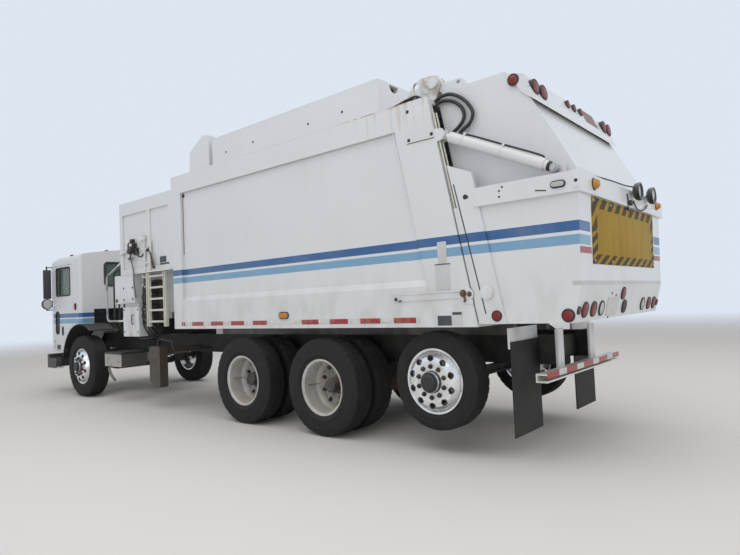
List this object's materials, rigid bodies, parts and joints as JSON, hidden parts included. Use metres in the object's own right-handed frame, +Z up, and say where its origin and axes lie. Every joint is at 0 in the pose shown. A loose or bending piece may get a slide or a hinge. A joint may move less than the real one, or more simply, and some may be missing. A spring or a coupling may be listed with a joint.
{
  "type": "side loading garbage truck",
  "caption": "Cab-over side loading garbage truck with an open hopper, hollow load body, lifting tailgate, tilting cab, reach arm with grip, and steered front and lifted tag axles.",
  "frame": {"origin": "on the floor, midway between the bumper's front and the tailgate's rear beam, on the centre line", "axes": "+X forward along the truck, +Y to its left, +Z up"},
  "size_m": [10.364, 2.7031, 3.8],
  "materials": {
    "body_white": "semi-gloss white paint with road dirt",
    "cab_white": "gloss white paint",
    "arm_white": "worn white paint",
    "bumper_white": "worn white paint",
    "wheel_white": "dusty white paint",
    "wheel_aluminium": "polished",
    "tyre_rubber": "dusty black rubber",
    "flap_rubber": "matt black rubber",
    "axle_black": "dirty black paint",
    "frame_black": "black chassis paint",
    "engine_grey": "dirty grey casting",
    "blade_steel": "worn and rusty steel",
    "rod_chrome": "ground and chromed",
    "cab_glass": "tinted glass",
    "seat_vinyl": "dark vinyl",
    "cab_plastic": "grained dark plastic",
    "mirror_black": "black housing",
    "trim_black": "black moulded plastic",
    "box_grey": "grey and black paint",
    "valve_black": "black paint",
    "hose_rubber": "black hydraulic hose"
  },
  "bodies": {
    "root": {"chassis_frame": "frame_black", "engine_block": "engine_grey", "front_axle": "axle_black", "tag_axle": "axle_black", "drive_axles": "axle_black", "springs": "axle_black", "body_shell": "body_white", "hopper": "body_white", "roof_tank_box": "body_white", "ladder": "frame_black", "side_boxes": "body_white", "battery_box": "box_grey", "valve_bank": "valve_black", "rear_guard": "body_white", "flap_hangers": "body_white", "mudflaps": "flap_rubber", "front_bumper": "bumper_white", "arm_slide_housing": "arm_white", "service_hoses": "hose_rubber"},
    "cab": {"cab_shell": "cab_white", "cab_glass": "cab_glass", "seats": "seat_vinyl", "dashboard": "cab_plastic", "steering_wheel": "cab_plastic", "mirrors": "mirror_black", "front_fenders": "trim_black"},
    "tailgate": {"tailgate": "body_white"},
    "packer_blade": {"packer_blade": "blade_steel"},
    "arm_boom": {"arm_boom": "arm_white"},
    "lift_arm": {"lift_arm": "arm_white"},
    "gripper_front": {"gripper_front": "arm_white"},
    "gripper_rear": {"gripper_rear": "arm_white"},
    "door_left": {"door_left": "cab_white", "door_glass_left": "cab_glass"},
    "door_right": {"door_right": "cab_white", "door_glass_right": "cab_glass"},
    "knuckle_front_left": {"knuckle_front_left": "axle_black"},
    "wheel_front_left": {"rim_front_left": "wheel_aluminium", "tyre_front_left": "tyre_rubber"},
    "knuckle_tag_left": {"knuckle_tag_left": "axle_black"},
    "wheel_tag_left": {"rim_tag_left": "wheel_aluminium", "tyre_tag_left": "tyre_rubber"},
    "wheels_mid_left": {"rims_mid_left": "wheel_white", "tyres_mid_left": "tyre_rubber"},
    "wheels_rear_left": {"rims_rear_left": "wheel_white", "tyres_rear_left": "tyre_rubber"},
    "knuckle_front_right": {"knuckle_front_right": "axle_black"},
    "wheel_front_right": {"rim_front_right": "wheel_aluminium", "tyre_front_right": "tyre_rubber"},
    "knuckle_tag_right": {"knuckle_tag_right": "axle_black"},
    "wheel_tag_right": {"rim_tag_right": "wheel_aluminium", "tyre_tag_right": "tyre_rubber"},
    "wheels_mid_right": {"rims_mid_right": "wheel_white", "tyres_mid_right": "tyre_rubber"},
    "wheels_rear_right": {"rims_rear_right": "wheel_white", "tyres_rear_right": "tyre_rubber"},
    "lift_barrel_left": {"lift_barrel_left": "body_white"},
    "lift_rod_left": {"lift_rod_left": "rod_chrome"},
    "lift_barrel_right": {"lift_barrel_right": "body_white"},
    "lift_rod_right": {"lift_rod_right": "rod_chrome"}
  },
  "joints": [
    {"name": "cab_tilt", "type": "hinge", "parent": "root", "child": "cab", "pos_m": [5.082, 0, 0.725], "axis": [0, 1, 0], "range_deg": [0, 45]},
    {"name": "door_left_hinge", "type": "hinge", "parent": "cab", "child": "door_left", "pos_m": [4.797, 1.166, 0.9], "axis": [0, 0, -1], "range_deg": [0, 70]},
    {"name": "door_right_hinge", "type": "hinge", "parent": "cab", "child": "door_right", "pos_m": [4.797, -1.166, 0.9], "axis": [0, 0, 1], "range_deg": [0, 70]},
    {"name": "steer_front_left", "type": "hinge", "parent": "root", "child": "knuckle_front_left", "pos_m": [3.682, 0.8, 0.525], "axis": [0, 0, 1], "range_deg": [-38, 38]},
    {"name": "roll_front_left", "type": "hinge", "parent": "knuckle_front_left", "child": "wheel_front_left", "pos_m": [3.682, 1.035, 0.525], "axis": [0, 1, 0], "continuous": true},
    {"name": "steer_tag_left", "type": "hinge", "parent": "root", "child": "knuckle_tag_left", "pos_m": [-3.608, 0.76, 0.66], "axis": [0, 0, 1], "range_deg": [-20, 20]},
    {"name": "roll_tag_left", "type": "hinge", "parent": "knuckle_tag_left", "child": "wheel_tag_left", "pos_m": [-3.608, 0.99, 0.66], "axis": [0, 1, 0], "continuous": true},
    {"name": "roll_mid_left", "type": "hinge", "parent": "root", "child": "wheels_mid_left", "pos_m": [-0.836, 1.06, 0.525], "axis": [0, 1, 0], "continuous": true},
    {"name": "roll_rear_left", "type": "hinge", "parent": "root", "child": "wheels_rear_left", "pos_m": [-2.198, 1.06, 0.525], "axis": [0, 1, 0], "continuous": true},
    {"name": "steer_front_right", "type": "hinge", "parent": "root", "child": "knuckle_front_right", "pos_m": [3.682, -0.8, 0.525], "axis": [0, 0, 1], "range_deg": [-38, 38]},
    {"name": "roll_front_right", "type": "hinge", "parent": "knuckle_front_right", "child": "wheel_front_right", "pos_m": [3.682, -1.035, 0.525], "axis": [0, 1, 0], "continuous": true},
    {"name": "steer_tag_right", "type": "hinge", "parent": "root", "child": "knuckle_tag_right", "pos_m": [-3.608, -0.76, 0.66], "axis": [0, 0, 1], "range_deg": [-20, 20]},
    {"name": "roll_tag_right", "type": "hinge", "parent": "knuckle_tag_right", "child": "wheel_tag_right", "pos_m": [-3.608, -0.99, 0.66], "axis": [0, 1, 0], "continuous": true},
    {"name": "roll_mid_right", "type": "hinge", "parent": "root", "child": "wheels_mid_right", "pos_m": [-0.836, -1.06, 0.525], "axis": [0, 1, 0], "continuous": true},
    {"name": "roll_rear_right", "type": "hinge", "parent": "root", "child": "wheels_rear_right", "pos_m": [-2.198, -1.06, 0.525], "axis": [0, 1, 0], "continuous": true},
    {"name": "tailgate_lift", "type": "hinge", "parent": "root", "child": "tailgate", "pos_m": [-3.728, 0, 3.45], "axis": [0, 1, 0], "range_deg": [0, 85]},
    {"name": "barrel_left_turn", "type": "hinge", "parent": "root", "child": "lift_barrel_left", "pos_m": [-3.874, 1.17, 2.897], "axis": [0, 1, 0], "range_deg": [-1, 85.2]},
    {"name": "rod_left_slide", "type": "slide", "parent": "lift_barrel_left", "child": "lift_rod_left", "axis": [-0.9011, 0, -0.4335], "range_m": [-0.005, 0.782]},
    {"name": "barrel_right_turn", "type": "hinge", "parent": "root", "child": "lift_barrel_right", "pos_m": [-3.874, -1.17, 2.897], "axis": [0, 1, 0], "range_deg": [-1, 85.2]},
    {"name": "rod_right_slide", "type": "slide", "parent": "lift_barrel_right", "child": "lift_rod_right", "axis": [-0.9011, 0, -0.4335], "range_m": [-0.005, 0.782]},
    {"name": "blade_travel", "type": "slide", "parent": "root", "child": "packer_blade", "axis": [-1, 0, 0], "range_m": [0, 1.3]},
    {"name": "arm_reach", "type": "slide", "parent": "root", "child": "arm_boom", "axis": [0, -1, 0], "range_m": [0, 1.2]},
    {"name": "arm_lift", "type": "hinge", "parent": "arm_boom", "child": "lift_arm", "pos_m": [1.672, -1.1, 1.72], "axis": [-1, 0, 0], "range_deg": [0, 133]},
    {"name": "grip_front", "type": "hinge", "parent": "lift_arm", "child": "gripper_front", "pos_m": [1.797, -1.32, 0.71], "axis": [0, 0, -1], "range_deg": [0, 80]},
    {"name": "grip_rear", "type": "hinge", "parent": "lift_arm", "child": "gripper_rear", "pos_m": [1.547, -1.32, 0.71], "axis": [0, 0, 1], "range_deg": [0, 80]}
  ],
  "couplings": [
    {"joint": "steer_front_right", "follows": "steer_front_left", "ratio": 1},
    {"joint": "steer_tag_right", "follows": "steer_tag_left", "ratio": 1},
    {"joint": "barrel_left_turn", "follows": "tailgate_lift", "ratio": 0.9903},
    {"joint": "rod_left_slide", "follows": "tailgate_lift", "m_per_rad": 0.5207},
    {"joint": "barrel_right_turn", "follows": "tailgate_lift", "ratio": 0.9903},
    {"joint": "rod_right_slide", "follows": "tailgate_lift", "m_per_rad": 0.5207},
    {"joint": "grip_rear", "follows": "grip_front", "ratio": 1}
  ]
}
